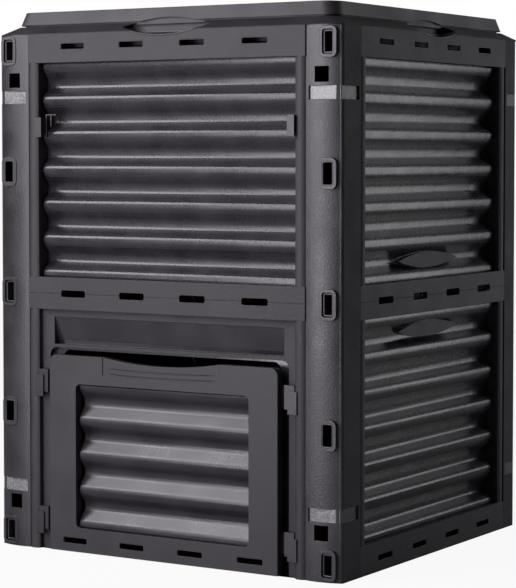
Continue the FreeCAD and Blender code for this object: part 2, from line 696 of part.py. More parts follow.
def front_lower_panel():
    """Jambs, the plate round the door, the header recess and the tie at the foot."""
    name = "front_lower_panel"
    body = new_body(name)
    half = half_x - s.post_width - s.fit
    opening = half - s.jamb
    head = panel_height - s.seam_band
    plate_back = s.leaf_depth + s.wall
    behind = s.frame_depth + CUT_OVER
    add(body, name + "_slab", middle(half), span(0, s.frame_depth), span(0, panel_height))
    remove(body, name + "_recess", middle(opening), span(-CUT_OVER, s.leaf_depth), span(-CUT_OVER, head))
    remove(body, name + "_back", middle(opening), span(plate_back, behind), span(-CUT_OVER, head - s.wall))
    hollow_jambs(body, name, half, opening, span(s.wall, panel_height - s.wall))
    remove(body, name + "_band_hollow", middle(opening + s.wall), span(s.wall, behind),
           span(head + s.wall, panel_height - s.wall))
    shell = cove(body, name + "_header_shell_section", s.leaf_depth, s.wall)
    pad(body, name + "_header_shell", shell, (s.header_half + s.wall) * 2, midplane=True)
    recess = cove(body, name + "_header_section", s.leaf_depth - CUT_OVER, as_size(0))
    pocket(body, name + "_header", recess, s.header_half * 2, midplane=True)
    rebate = sketch_on(body, name + "_rebate_outline", "XZ_Plane", -s.leaf_depth)
    rounded(rebate, middle(s.hole_half + s.wall), span(-s.hole_radius * 3, s.hole_top + s.wall),
            s.hole_radius + s.wall)
    pad(body, name + "_rebate_shell", rebate, s.rebate_depth + s.wall, reverse=True)
    hole = sketch_on(body, name + "_hole_outline", "XZ_Plane", as_size(CUT_OVER))
    rounded(hole, middle(s.hole_half), span(-s.hole_radius * 4, s.hole_top), s.hole_radius)
    pocket(body, name + "_hole", hole, s.leaf_depth + s.rebate_depth + CUT_OVER)
    way = sketch_on(body, name + "_way_outline", "XZ_Plane", as_size(CUT_OVER))
    rounded(way, middle(s.way_half), span(s.way_low, s.way_high), s.hole_radius)
    pocket(body, name + "_way", way, s.frame_depth + CUT_OVER * 2)
    remove(body, name + "_underside", middle(half), span(-CUT_OVER, behind), span(-s.hole_radius * 5, 0))
    add(body, name + "_sill_foot", middle(s.hole_half), span(s.leaf_depth + s.rebate_depth, s.frame_depth),
        span(0, s.wall))
    seam_half = (s.slot_height - s.fit) / 2
    band_slots(body, name + "_seam_slot", as_size(0), behind, around(panel_height, seam_half * 2),
               s.slot_pitch)
    round_jambs(body, name, half, opening, span(0, head))
    for word, side in (("left", -1), ("right", 1)):
        add(body, "%s_stop_%s" % (name, word), span((s.hole_half + 1) * side, (opening + s.wall / 2) * side),
            span(s.clip_back + 1, s.leaf_depth + s.wall / 2), span(s.clip_low - s.wall * 2, lug_low - s.fit))
    snap_tabs(body, name, half, Levels(False), into_front=False)
    place(body, 0, -half_y, 0)


lug_low = s.clip_low + (s.clip_tongue - s.lug_height) / 2
front_lower_panel()

# Door


def door():
    """The lift-out door: a hollow border, a corrugated field, a finger dip and four lugs."""
    body = new_body("door")
    face = half_y + s.door_proud
    outline = sketch_on(body, "door_outline", "XZ_Plane", face)
    rounded(outline, middle(s.door_half), span(-s.door_radius * 3, s.door_top), s.door_radius)
    pad(body, "door_slab", outline, s.door_depth, reverse=True)
    front, back = -face - CUT_OVER, -face + s.door_depth + CUT_OVER
    remove(body, "door_foot", middle(s.door_half + CUT_OVER), span(front, back),
           span(-s.door_radius * 4, s.door_low))
    light = sketch_on(body, "door_light_outline", "XZ_Plane", face + CUT_OVER)
    rounded(light, middle(s.light_half), span(s.light_low, s.light_high), s.light_radius)
    pocket(body, "door_light", light, s.door_depth + CUT_OVER * 2)
    hollow = span(-face + s.wall, back)
    hollow_top = s.door_top - s.dip_drop - s.wall
    for word, side in (("left", -1), ("right", 1)):
        remove(body, "door_stile_hollow_" + word,
               span((s.light_half + s.wall) * side, (s.door_half - s.wall) * side), hollow,
               span(s.door_low + s.wall, hollow_top))
    rail = middle(s.light_half + s.wall + 1)
    remove(body, "door_top_hollow", rail, span(hollow[0] + s.grip_recess + s.groove_drop, back),
           span(s.light_high + s.wall, hollow_top))
    remove(body, "door_foot_hollow", rail, hollow, span(s.door_low + s.wall, s.light_low - s.wall))
    corrugate(body, "door_wave", -face + s.light_crest, s.light_wave, s.light_share,
              span(s.light_low, s.light_high), s.light_start, s.light_count, s.light_half - s.vent_slit)
    dip = sketch_on(body, "door_dip_outline", "XZ_Plane", face + CUT_OVER)
    lens(dip, s.dip_half, s.door_top - s.dip_drop, s.door_top + s.dip_drop)
    pocket(body, "door_dip", dip, s.door_depth + CUT_OVER * 2)
    recess = sketch_on(body, "door_grip_outline", "XZ_Plane", face + CUT_OVER)
    grip_x, above = s.dip_half.value, (s.door_top + CUT_OVER).value
    corners = [FreeCAD.Vector(x, z, 0) for x, z in (
        (-grip_x, s.grip_foot.value), (-grip_x, above), (grip_x, above), (grip_x, s.grip_foot.value))]
    for first, second in zip(corners[:3], corners[1:]):
        recess.addGeometry(Part.LineSegment(first, second))
    sag = FreeCAD.Vector(0, (s.grip_foot - s.grip_sag).value, 0)
    recess.addGeometry(Part.Arc(corners[3], sag, corners[0]))
    pocket(body, "door_grip", recess, s.grip_recess + CUT_OVER)
    for word, tip in (("high", s.groove_high), ("low", s.groove_low)):
        groove = sketch_on(body, "door_groove_outline_" + word, "XZ_Plane", face + CUT_OVER)
        edge = tip - s.groove_sag
        lens(groove, s.groove_half, edge - s.groove_thick, edge, tip)
        pocket(body, "door_groove_" + word, groove, s.grip_recess + s.groove_drop + CUT_OVER)
    band_slots(body, "door_slot", -face, s.wall * 2, around(s.door_slot_level, s.slot_height),
               s.door_slot_pitch)
    lug_back = -half_y + s.leaf_depth - s.fit * 2
    lift = s.clip_high - s.clip_low
    for index, low in enumerate((lug_low, lug_low + lift)):
        for word, side in (("left", -1), ("right", 1)):
            add(body, "door_lug_%s_%d" % (word, index),
                span((s.door_half - s.wall) * side, (s.door_half + s.lug_reach) * side),
                span(lug_back - s.lug_thick, lug_back), span(low, low + s.lug_height))


door()

# Clips: a pad on the jamb, with a tongue that reaches over the door's lug where it holds one


def clip(name, side, low, tongue, pad_height, pad_out, proud):
    """One clip or one plain block, low being the foot of its web."""
    body = new_body(name)
    edge = jamb_edge - s.fit
    inner = jamb_edge - s.clip_pad_in
    pad_z = span(low - s.clip_shift, low - s.clip_shift + pad_height)
    add(body, name + "_pad", span(inner * side, (jamb_edge + pad_out) * side),
        span(-half_y - proud, -half_y - s.fit), pad_z)
    add(body, name + "_web", span(inner * side, edge * side), span(-half_y - s.fit, -half_y + s.clip_back),
        span(low, pad_z[1]))
    if tongue:
        add(body, name + "_tongue", span((jamb_edge - s.clip_reach) * side, edge * side),
            span(-half_y + s.clip_back / 6, -half_y + s.clip_back), span(low, low + s.clip_tongue))


for word, side in (("left", -1), ("right", 1)):
    for place_name, low in (("lower", s.clip_low), ("upper", s.clip_high)):
        clip("door_guide_%s_%s" % (place_name, word), side, low, True, s.clip_pad, s.clip_pad_out,
             s.clip_proud)
    clip("panel_clip_" + word, side, s.clip_wall + s.clip_shift, False, s.block_pad, s.block_out,
         s.block_proud)

# Collar, lid and hinges. These are lofts between rounded rectangles, joined and cut.


def outline_at(name, inset, radius, z):
    """A rounded rectangle, inset from the side planes, at a height."""
    sketch = doc.addObject("Sketcher::SketchObject", name)
    rounded(sketch, middle(half_x - inset), middle(half_y - inset), radius)
    sketch.setExpression("Placement.Base.z", z.text)
    return sketch


def taper(name, low, high):
    """A solid between two rounded rectangles, each given as inset, radius and height."""
    loft = doc.addObject("Part::Loft", name)
    loft.Sections = [outline_at(name + "_low", *low), outline_at(name + "_high", *high)]
    loft.Solid = True
    loft.Ruled = True
    return loft


def ring_of(name, outside, inside, low, high, radius):
    """An upright ring between two insets."""
    outer = taper(name + "_outer", (outside, radius, low), (outside, radius, high))
    over = as_size(1)
    inner = taper(name + "_inner", (inside, radius, low - over), (inside, radius, high + over))
    return cut(name, outer, [inner])


def fuse(name, shapes):
    """Several solids as one."""
    result = doc.addObject("Part::MultiFuse", name)
    result.Shapes = shapes
    return result


def cut(name, base, tools):
    """A solid less one or more others."""
    result = doc.addObject("Part::Cut", name)
    result.Base = base
    result.Tool = tools[0] if len(tools) == 1 else fuse(name + "_tools", tools)
    return result


def block(name, x, y, z):
    """A plain box over three spans."""
    solid = doc.addObject("Part::Box", name)
    for prop, axis, (low, high) in (("Length", "x", x), ("Width", "y", y), ("Height", "z", z)):
        solid.setExpression(prop, (high - low).text)
        solid.setExpression("Placement.Base." + axis, low.text)
    return solid


def rod(name, radius, x, y, z):
    """A cylinder along X over the span x."""
    solid = doc.addObject("Part::Cylinder", name)
    solid.Placement.Rotation = FreeCAD.Rotation(FreeCAD.Vector(0, 1, 0), 90)
    solid.setExpression("Radius", radius.text)
    solid.setExpression("Height", (x[1] - x[0]).text)
    for axis, size in (("x", x[0]), ("y", y), ("z", z)):
        solid.setExpression("Placement.Base." + axis, size.text)
    return solid


def grip_prism(name, turn, margin, inner, outer):
    """The lens of a finger grip, as a prism on the side that turn points to, between two distances."""
    sketch = doc.addObject("Sketcher::SketchObject", name + "_outline")
    top = s.body_height
    lens(sketch, s.grip_half + margin, top + s.grip_low - margin, top + s.grip_high)
    upright = FreeCAD.Rotation(FreeCAD.Vector(1, 0, 0), 90)
    about = FreeCAD.Rotation(FreeCAD.Vector(0, 0, 1), turn)
    sketch.Placement.Rotation = about.multiply(upright)
    away = {0: ("y", -1), 90: ("x", 1), 180: ("y", 1), 270: ("x", -1)}[turn]
    sketch.setExpression("Placement.Base." + away[0], (inner * away[1]).text)
    prism = doc.addObject("Part::Extrusion", name)
    prism.Base = sketch
    prism.DirMode = "Normal"
    prism.Solid = True
    prism.setExpression("LengthFwd", (outer - inner).text)
    return prism


top = s.body_height
collar_foot = top + s.fit
roof_top = collar_foot + s.roof_rise
sides = ((0, half_y), (90, half_x), (180, half_y), (270, half_x))

roof = cut("roof", taper("roof_outer", (as_size(0), s.roof_radius, collar_foot),
                         (s.roof_run, s.roof_radius, roof_top)),
           [taper("roof_inner", (s.wall * 2, s.roof_radius, collar_foot - 1),
                  (s.roof_run + s.wall * 2, s.roof_radius, roof_top - s.wall))])
opening_inset = s.frame_depth + s.fit * 2 + s.wall
shelf = taper("shelf", (s.roof_run, s.roof_radius, roof_top - s.wall),
              (s.roof_run, s.roof_radius, roof_top))
neck = taper("neck", (s.neck_inset, s.lid_radius, roof_top - s.wall),
             (s.neck_inset, s.lid_radius, top + s.neck_top))
plug_x = span(half_x - opening_inset, half_x - opening_inset + s.wall)
plug_y = span(half_y - opening_inset, half_y - opening_inset + s.wall)
plug_z = span(top - s.plug_drop, roof_top - s.wall / 2)
along_x = middle(half_x - s.post_width - s.fit * 2)
along_y = middle(half_y - s.post_width - s.fit * 2)
plugs = []
for word, sign in (("low", -1), ("high", 1)):
    plugs.append(block("plug_x_" + word, span(plug_x[0] * sign, plug_x[1] * sign), along_y, plug_z))
    plugs.append(block("plug_y_" + word, along_x, span(plug_y[0] * sign, plug_y[1] * sign), plug_z))
scoops = []
scoop_shells = []
for turn, far in sides:
    inner = far - s.neck_inset
    scoops.append(grip_prism("scoop_%d" % turn, turn, as_size(0), inner, far + CUT_OVER))
    shell = grip_prism("scoop_shell_%d" % turn, turn, s.wall, inner, far)
    scoop_shells.append(shell)
trim = taper("trim", (as_size(0), s.roof_radius, top - s.plug_drop),
             (as_size(0), s.roof_radius, collar_foot))
under = taper("under", (as_size(0), s.roof_radius, collar_foot), (s.roof_run, s.roof_radius, roof_top))
shells = doc.addObject("Part::MultiCommon", "scoop_floors")
shells.Shapes = [fuse("scoop_shells", scoop_shells), fuse("collar_space", [trim, under])]
way_below = taper("way_below", (opening_inset, s.roof_radius, top - s.plug_drop - 1),
                  (opening_inset, s.roof_radius, roof_top))
collar_core = fuse("collar_core", [roof, shelf, neck, shells])
shelf_inside = taper("shelf_inside", (opening_inset, s.roof_radius, roof_top - s.wall),
                     (opening_inset, s.roof_radius, top + s.neck_top + 1))
neck_inside = taper("neck_inside", (s.neck_inset + s.wall, s.lid_radius, roof_top),
                    (s.neck_inset + s.wall, s.lid_radius, top + s.neck_top + 1))

axis_y = half_y + s.hinge_proud - s.ear_radius
axis_z = top + s.hinge_z
ears, knuckles, bores = [], [], []
for word, side in (("left", -1), ("right", 1)):
    centre = s.hinge_x * side
    for index, hand in enumerate((-1, 1)):
        near = centre + (s.knuckle / 2 + s.knuckle_play) * hand
        x = span(near, near + s.ear_thick * hand)
        ears.append(rod("ear_%s_%d" % (word, index), s.ear_radius, x, axis_y, axis_z))
        ears.append(block("ear_foot_%s_%d" % (word, index), x, around(axis_y, s.ear_radius * 2),
                          span(roof_top - s.roof_rise * 0.8, axis_z)))
    x = around(centre, s.knuckle)
    knuckles.append(rod("knuckle_" + word, s.ear_radius, x, axis_y, axis_z))
    knuckles.append(block("knuckle_arm_" + word, x, span(half_y - s.lid_inset - s.wall, axis_y),
                          span(axis_z - s.wall, axis_z + s.wall)))
    reach = s.knuckle + (s.knuckle_play + s.ear_thick) * 2
    bores.append(rod("bore_" + word, s.pin_radius + s.pin_play, around(centre, reach + CUT_OVER),
                     axis_y, axis_z))
    pin = rod("lid_hinge_pin_" + word, s.pin_radius, around(centre, reach + 2), axis_y, axis_z)
    pin.Label = "lid_hinge_pin_" + word

collar_base = cut("collar_base", collar_core, scoops + [shelf_inside, neck_inside, way_below])
collar = cut("top_collar", fuse("collar_solid", [collar_base] + plugs + ears), bores)
collar.Label = "top_collar"

lid_low, lid_high = top + s.lid_foot, top + s.lid_top
field_inset = s.lid_inset + s.lid_lean + s.lid_border
field_top = lid_high - s.lid_field_drop
skin = cut("lid_skin", taper("lid_outer", (s.lid_inset, s.lid_radius, lid_low),
                             (s.lid_inset + s.lid_lean, s.lid_radius, lid_high)),
           [taper("lid_inner", (s.lid_inset + s.wall, s.lid_radius, lid_low - 1),
                  (s.lid_inset + s.lid_lean + s.wall, s.lid_radius, lid_high - s.wall))])
tray = taper("lid_tray", (field_inset - s.wall, s.lid_radius, field_top - s.wall),
             (field_inset - s.wall, s.lid_radius, lid_high))
field = taper("lid_field", (field_inset, s.lid_radius, field_top), (field_inset, s.lid_radius, lid_high + 1))
seat = ring_of("lid_seat", s.neck_inset + s.fit, s.neck_inset + s.wall, top + s.neck_top + s.fit,
               lid_high - s.wall / 2, s.lid_radius)
ribs = []
rib_half = half_y - field_inset - s.lid_border
for index in range(int(s.lid_ribs.value)):
    x = s.lid_rib_pitch * (index - (s.lid_ribs.value - 1) / 2)
    rib = doc.addObject("Part::Cylinder", "lid_rib_%d" % index)
    rib.Placement.Rotation = FreeCAD.Rotation(FreeCAD.Vector(1, 0, 0), -90)
    rib.setExpression("Radius", s.lid_rib_radius.text)
    rib.setExpression("Height", (rib_half * 2).text)
    rib.setExpression("Placement.Base.x", x.text)
    rib.setExpression("Placement.Base.y", (-rib_half).text)
    rib.setExpression("Placement.Base.z", (field_top + s.lid_rib_rise - s.lid_rib_radius).text)
    ribs.append(rib)
above = block("rib_space", middle(half_x), middle(half_y), span(field_top - s.wall, lid_high))
rib_tops = doc.addObject("Part::MultiCommon", "lid_ribs")
rib_tops.Shapes = [fuse("rib_rods", ribs), above]
shell = cut("lid_shell", fuse("lid_solid", [skin, tray, seat]), [field])
lid_scoops = []
for turn, far in sides:
    lid_scoops.append(grip_prism("lid_scoop_%d" % turn, turn, as_size(0), far - s.neck_inset + s.fit,
                                 far + CUT_OVER))
lid = cut("lid", fuse("lid_parts", [cut("lid_arched", shell, lid_scoops), rib_tops] + knuckles), bores)
lid.Label = "lid"

doc.recompute()

# Checks and export

parts = [obj for obj in doc.Objects if obj.TypeId == "PartDesign::Body"]
parts += [obj for obj in doc.Objects if obj.Label in ("top_collar", "lid")
          or obj.Label.startswith("lid_hinge_pin")]
for obj in doc.Objects:
    if "Invalid" in obj.State or "Error" in obj.State:
        raise RuntimeError("%s failed: %s" % (obj.Name, obj.State))
for obj in parts:
    if obj.Shape.isNull() or not obj.Shape.isValid():
        raise RuntimeError("%s has no valid shape" % obj.Label)
for obj in sorted(parts, key=lambda item: item.Label):
    obj.Shape.exportStep("parts/%s.step" % obj.Label)
    bounds = obj.Shape.BoundBox
    print("%-26s solids %d  volume %8.1f cm3  x %.1f..%.1f  y %.1f..%.1f  z %.1f..%.1f" % (
        obj.Label, len(obj.Shape.Solids), obj.Shape.Volume / 1000, bounds.XMin, bounds.XMax,
        bounds.YMin, bounds.YMax, bounds.ZMin, bounds.ZMax))
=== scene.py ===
"""Studio scene of a black moulded compost bin with a hinged lid and a lift-out door.

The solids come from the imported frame. This script gives them their moulded plastic finishes, adds the
liners of the slots and the sleeves and rings in the posts, and builds the plain studio and the camera.
"""
import logging
import math
from dataclasses import dataclass, field
from enum import Enum
from typing import Any, Optional

import bmesh
import bpy
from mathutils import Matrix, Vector


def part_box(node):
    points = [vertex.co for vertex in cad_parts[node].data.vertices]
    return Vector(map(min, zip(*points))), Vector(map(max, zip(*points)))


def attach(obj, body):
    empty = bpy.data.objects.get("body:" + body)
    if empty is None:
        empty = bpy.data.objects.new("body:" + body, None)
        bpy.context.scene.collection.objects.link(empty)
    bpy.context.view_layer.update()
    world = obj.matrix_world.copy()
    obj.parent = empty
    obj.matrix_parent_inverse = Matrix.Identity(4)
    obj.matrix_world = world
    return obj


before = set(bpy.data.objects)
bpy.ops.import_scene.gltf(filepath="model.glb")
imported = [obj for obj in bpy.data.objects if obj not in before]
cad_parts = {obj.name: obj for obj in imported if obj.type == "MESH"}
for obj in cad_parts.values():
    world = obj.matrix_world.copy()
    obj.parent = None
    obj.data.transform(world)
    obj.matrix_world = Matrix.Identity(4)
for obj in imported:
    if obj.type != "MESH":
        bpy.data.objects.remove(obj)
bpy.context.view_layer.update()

log = logging.getLogger("compost_bin")
MM = 0.001
# The planes of the walls' faces, left and right of the middle and in front of and behind it.
HALF_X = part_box("right_upper_panel")[1][0]
HALF_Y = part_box("rear_upper_panel")[1][1]


class Facing(Enum):
    """The side of the bin that a panel looks to, as its turn about Z in degrees."""

    FRONT = 0
    RIGHT = 90
    REAR = 180
    LEFT = 270


def linear(colour: str) -> tuple[float, float, float, float]:
    """Turns an sRGB hex value to linear.

    Args:
        colour: A value such as "#1c1b1d".

    Returns:
        Red, green, blue and an alpha of 1, in linear light.
    """
    parts = [int(colour[i:i + 2], 16) / 255 for i in (1, 3, 5)]
    red, green, blue = (c / 12.92 if c <= 0.04045 else ((c + 0.055) / 1.055) ** 2.4 for c in parts)
    return (red, green, blue, 1.0)


def add_node(tree: bpy.types.NodeTree, kind: str, settings: Optional[dict[str, Any]] = None,
             inputs: Optional[dict[Any, Any]] = None) -> bpy.types.Node:
    """Adds a node with its settings, values and links.

    Args:
        tree: The tree that gets the node.
        kind: The node's type.
        settings: Properties of the node.
        inputs: Input socket by name or number, with its value or the output that feeds it.

    Returns:
        The new node.
    """
    node = tree.nodes.new(kind)
    for name, value in (settings or {}).items():
        setattr(node, name, value)
    for name, value in (inputs or {}).items():
        if isinstance(value, bpy.types.NodeSocket):
            tree.links.new(value, node.inputs[name])
        else:
            node.inputs[name].default_value = value
    return node


def per_metre(size_mm: float) -> float:
    """The scale of a pattern whose features are that many millimetres apart."""
    return 1000.0 / size_mm


@dataclass(frozen=True)
class MouldedPlastic:
    """Black plastic, mostly polypropylene, as it leaves the mould.

    A carbon-black body that is never quite black, a satin skin that breaks a lamp into a soft band,
    a spark-eroded grain that sparkles in it, and the slow swell of a moulding that shrank as it cooled.
    The grain is drawn about three times as coarse as the real one, so that it shows at this size.
    """

    name: str
    body: str = "#19171b"
    bloom: str = "#242227"
    bloom_range: tuple[float, float] = (0.35, 0.7)
    ior: float = 1.49
    gloss_tint: tuple[float, float, float, float] = (0.96, 0.9, 1.0, 1.0)
    # How rough the recessed sheet, the outer faces and the faces towards the sides are.
    roughness: float = 0.42
    face_roughness: float = 0.66
    side_roughness: Optional[float] = None
    side_within_mm: float = 0.3
    roughness_swing: float = 0.1
    swing_range: tuple[float, float] = (0.5, 1.1)
    swing_grain_share: float = 0.6
    # Where the sheet begins behind the outer planes, how soft that change is, and the sheet's matt plates.
    recess_mm: float = 9.0
    recess_soft_mm: float = 2.5
    plate_mm: Optional[float] = None
    plate_within_mm: float = 0.4
    # The relief: the grain, the swell and the softened edges.
    grain_mm: float = 2.6
    grain_depth_mm: float = 0.25
    grain_in_recess: float = 0.35
    swell_mm: float = 60.0
    swell_depth_mm: float = 0.5
    edge_mm: float = 1.2
    # The notch bands: their heights, half their width, how deep they lie, their polish, and the pale colour
    # painted in as their highlight.
    notch_bands_mm: tuple[float, ...] = ()
    notch_half_mm: float = 9.9
    notch_depth_mm: float = 4.0
    notch_within_mm: float = 0.4
    # A pale colour painted into the notch bands as their highlight, and their polished roughness.
    notch_highlight_paint: str = "#8a888c"
    notch_polish_roughness: float = 0.24

    def depth(self, tree: bpy.types.NodeTree, place: bpy.types.NodeSocket) -> bpy.types.NodeSocket:
        """How far a point lies behind the nearest of the bin's four outer planes.

        Args:
            tree: The material's tree.
            place: The point.

        Returns:
            The depth in metres.
        """
        split = add_node(tree, "ShaderNodeSeparateXYZ", {}, {"Vector": place})
        behind = []
        for axis, half in (("X", HALF_X), ("Y", HALF_Y)):
            away = add_node(tree, "ShaderNodeMath", {"operation": "ABSOLUTE"}, {0: split.outputs[axis]})
            behind.append(add_node(tree, "ShaderNodeMath", {"operation": "SUBTRACT"}, {
                0: half, 1: away.outputs["Value"]}))
        nearest = add_node(tree, "ShaderNodeMath", {"operation": "MINIMUM"}, {
            0: behind[0].outputs["Value"], 1: behind[1].outputs["Value"]})
        return nearest.outputs["Value"]

    def near(self, tree: bpy.types.NodeTree, value: bpy.types.NodeSocket, middle_mm: float,
             half_mm: float) -> bpy.types.NodeSocket:
        """A factor that is 1 where a measure lies close to a given one.

        Args:
            tree: The material's tree.
            value: The measure in metres.
            middle_mm: What it is compared with.
            half_mm: How far it may be off.

        Returns:
            The factor.
        """
        return add_node(tree, "ShaderNodeMath", {"operation": "COMPARE"}, {
            0: value, 1: middle_mm * MM, 2: half_mm * MM}).outputs["Value"]

    def skin(self, tree: bpy.types.NodeTree, place: bpy.types.NodeSocket,
             behind: bpy.types.NodeSocket) -> bpy.types.NodeSocket:
        """The roughness before its small variation: matt on the faces, satin on the recessed sheet.

        Args:
            tree: The material's tree.
            place: The point.
            behind: How far it lies behind the outer planes.

        Returns:
            The roughness.
        """
        gloss = add_node(tree, "ShaderNodeMapRange", {}, {
            "Value": behind, "From Min": (self.recess_mm - self.recess_soft_mm) * MM,
            "From Max": self.recess_mm * MM, "To Min": self.face_roughness,
            "To Max": self.roughness}).outputs["Result"]
        if self.plate_mm is not None:
            plate = self.near(tree, behind, self.plate_mm, self.plate_within_mm)
            gloss = add_node(tree, "ShaderNodeMix", {}, {
                "Factor": plate, 2: gloss, 3: self.face_roughness}).outputs[0]
        if self.side_roughness is not None:
            split = add_node(tree, "ShaderNodeSeparateXYZ", {}, {"Vector": place})
            across = add_node(tree, "ShaderNodeMath", {"operation": "ABSOLUTE"}, {0: split.outputs["X"]})
            side = self.near(tree, across.outputs["Value"], HALF_X / MM, self.side_within_mm)
            gloss = add_node(tree, "ShaderNodeMix", {}, {
                "Factor": side, 2: gloss, 3: self.side_roughness}).outputs[0]
        if self.notch_bands_mm:
            gloss = add_node(tree, "ShaderNodeMix", {}, {
                "Factor": self.notched(tree, place, behind), 2: gloss,
                3: self.notch_polish_roughness}).outputs[0]
        return gloss

    def notched(self, tree: bpy.types.NodeTree, place: bpy.types.NodeSocket,
                behind: bpy.types.NodeSocket) -> bpy.types.NodeSocket:
        """A factor that is 1 in the notch bands, which are polished and get a pale painted highlight.

        Args:
            tree: The material's tree.
            place: The point.
            behind: How far it lies behind the outer planes.

        Returns:
            The factor.
        """
        height = add_node(tree, "ShaderNodeSeparateXYZ", {}, {"Vector": place}).outputs["Z"]
        band, *others = [self.near(tree, height, level, self.notch_half_mm) for level in self.notch_bands_mm]
        for other in others:
            band = add_node(tree, "ShaderNodeMath", {"operation": "MAXIMUM"}, {
                0: band, 1: other}).outputs["Value"]
        return add_node(tree, "ShaderNodeMath", {"operation": "MULTIPLY"}, {
            0: band, 1: self.near(tree, behind, self.notch_depth_mm, self.notch_within_mm)}).outputs["Value"]

    def make(self) -> bpy.types.Material:
        """Builds the node material.

        Returns:
            The finished material.
        """
        material = bpy.data.materials.new(self.name)
        material.use_nodes = True
        tree = material.node_tree
        tree.nodes.clear()
        place = add_node(tree, "ShaderNodeTexCoord").outputs["Object"]
        grain = add_node(tree, "ShaderNodeTexNoise", {"noise_dimensions": "3D"}, {
            "Vector": place, "Scale": per_metre(self.grain_mm), "Detail": 2.0, "Roughness": 0.6})
        swell = add_node(tree, "ShaderNodeTexNoise", {"noise_dimensions": "3D"}, {
            "Vector": place, "Scale": per_metre(self.swell_mm), "Detail": 3.0, "Roughness": 0.5})
        tone = add_node(tree, "ShaderNodeMapRange", {}, {
            "Value": swell.outputs["Fac"], "From Min": self.bloom_range[0],
            "From Max": self.bloom_range[1]})
        colour = add_node(tree, "ShaderNodeMix", {"data_type": "RGBA"}, {
            "Factor": tone.outputs["Result"], 6: linear(self.body), 7: linear(self.bloom)})
        tint = colour.outputs[2]
        behind = self.depth(tree, place)
        # The notch bands' pale speckle is a painted highlight, mixed into the colour by the grain.
        if self.notch_bands_mm:
            painted_highlight = add_node(tree, "ShaderNodeMath", {"operation": "MULTIPLY"}, {
                0: self.notched(tree, place, behind), 1: grain.outputs["Fac"]})
            tint = add_node(tree, "ShaderNodeMix", {"data_type": "RGBA"}, {
                "Factor": painted_highlight.outputs["Value"], 6: tint, 7: linear(self.notch_highlight_paint)}).outputs[2]
        both = add_node(tree, "ShaderNodeMath", {"operation": "MULTIPLY_ADD"}, {
            0: grain.outputs["Fac"], 1: self.swing_grain_share, 2: swell.outputs["Fac"]})
        swing = add_node(tree, "ShaderNodeMapRange", {}, {
            "Value": both.outputs["Value"], "From Min": self.swing_range[0],
            "From Max": self.swing_range[1], "To Min": -self.roughness_swing,
            "To Max": self.roughness_swing})
        skin = add_node(tree, "ShaderNodeMath", {"operation": "ADD"}, {
            0: swing.outputs["Result"], 1: self.skin(tree, place, behind)})
        bite = add_node(tree, "ShaderNodeMapRange", {}, {
            "Value": behind, "From Min": (self.recess_mm - self.recess_soft_mm) * MM,
            "From Max": self.recess_mm * MM, "To Min": 1.0, "To Max": self.grain_in_recess})
        edge = add_node(tree, "ShaderNodeBevel", {"samples": 4}, {"Radius": self.edge_mm * MM})
        broad = add_node(tree, "ShaderNodeBump", {}, {
            "Height": swell.outputs["Fac"], "Strength": 1.0, "Distance": self.swell_depth_mm * MM,
            "Normal": edge.outputs["Normal"]})
        fine = add_node(tree, "ShaderNodeBump", {}, {
            "Height": grain.outputs["Fac"], "Strength": bite.outputs["Result"],
            "Distance": self.grain_depth_mm * MM, "Normal": broad.outputs["Normal"]})
        shader = add_node(tree, "ShaderNodeBsdfPrincipled", {}, {
            "Base Color": tint, "Roughness": skin.outputs["Value"], "IOR": self.ior,
            "Specular Tint": self.gloss_tint, "Normal": fine.outputs["Normal"]})
        add_node(tree, "ShaderNodeOutputMaterial", {}, {"Surface": shader.outputs["BSDF"]})
        return material


# The sheets shine where they are polished by the mould, between matt borders. Their plates are matt too.
SHEET = MouldedPlastic("moulded_polypropylene_sheet", roughness=0.28, roughness_swing=0.06, plate_mm=15.0,
                       grain_mm=3.2, grain_depth_mm=0.35, swell_mm=45.0, swell_depth_mm=0.6)
# The frame round the door is matt too, and polished in the recess above it.
DOOR_FRAME = MouldedPlastic("moulded_polypropylene_frame", roughness=0.17, recess_mm=12.3,
                            recess_soft_mm=0.5, grain_mm=3.2, grain_depth_mm=0.35, grain_in_recess=0.04)
# The posts' rounded faces are smoother and hold a highlight. Their notch bands are polished and get a pale,
# speckled painted highlight.
POST = MouldedPlastic("moulded_polypropylene_post", face_roughness=0.42, side_roughness=0.8,
                      grain_mm=3.2, grain_depth_mm=0.3, notch_bands_mm=(95.75, 695.25))
# The lid and the collar come from another mould with a fine, even texture.
LID = MouldedPlastic("moulded_polypropylene_lid", roughness=0.56, face_roughness=0.56)
# The door's sheet is polished too, in a satin border.
DOOR = MouldedPlastic("moulded_polypropylene_door", roughness=0.31, face_roughness=0.6,
                      roughness_swing=0.06, recess_mm=1.0, recess_soft_mm=0.3)
# Clips and pins are small parts of a harder, glossier grade.
CLIP = MouldedPlastic("moulded_nylon_clip", body="#161418", bloom="#1e1c20", roughness=0.34,
                      face_roughness=0.45, grain_depth_mm=0.05, edge_mm=0.6)
# The liners and sleeves are the panels' own plastic, smooth where they were drawn from the mould.
RIM = MouldedPlastic("moulded_polypropylene_rim", roughness=0.45, face_roughness=0.45,
                     grain_depth_mm=0.0, edge_mm=0.3)
SLEEVE = MouldedPlastic("moulded_polypropylene_sleeve", roughness=0.4, face_roughness=0.4,
                        grain_depth_mm=0.0, edge_mm=0.5)


def dress(node: str, material: bpy.types.Material) -> None:
    """Gives a CAD node its material.

    Args:
        node: The node's name.
        material: The material for all its faces.
    """
    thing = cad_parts[node]
    slots = thing.material_slots
    if not slots:
        thing.data.materials.append(material)
    for slot in slots:
        slot.material = material
    log.info("dressed %s with %s", node, material.name)


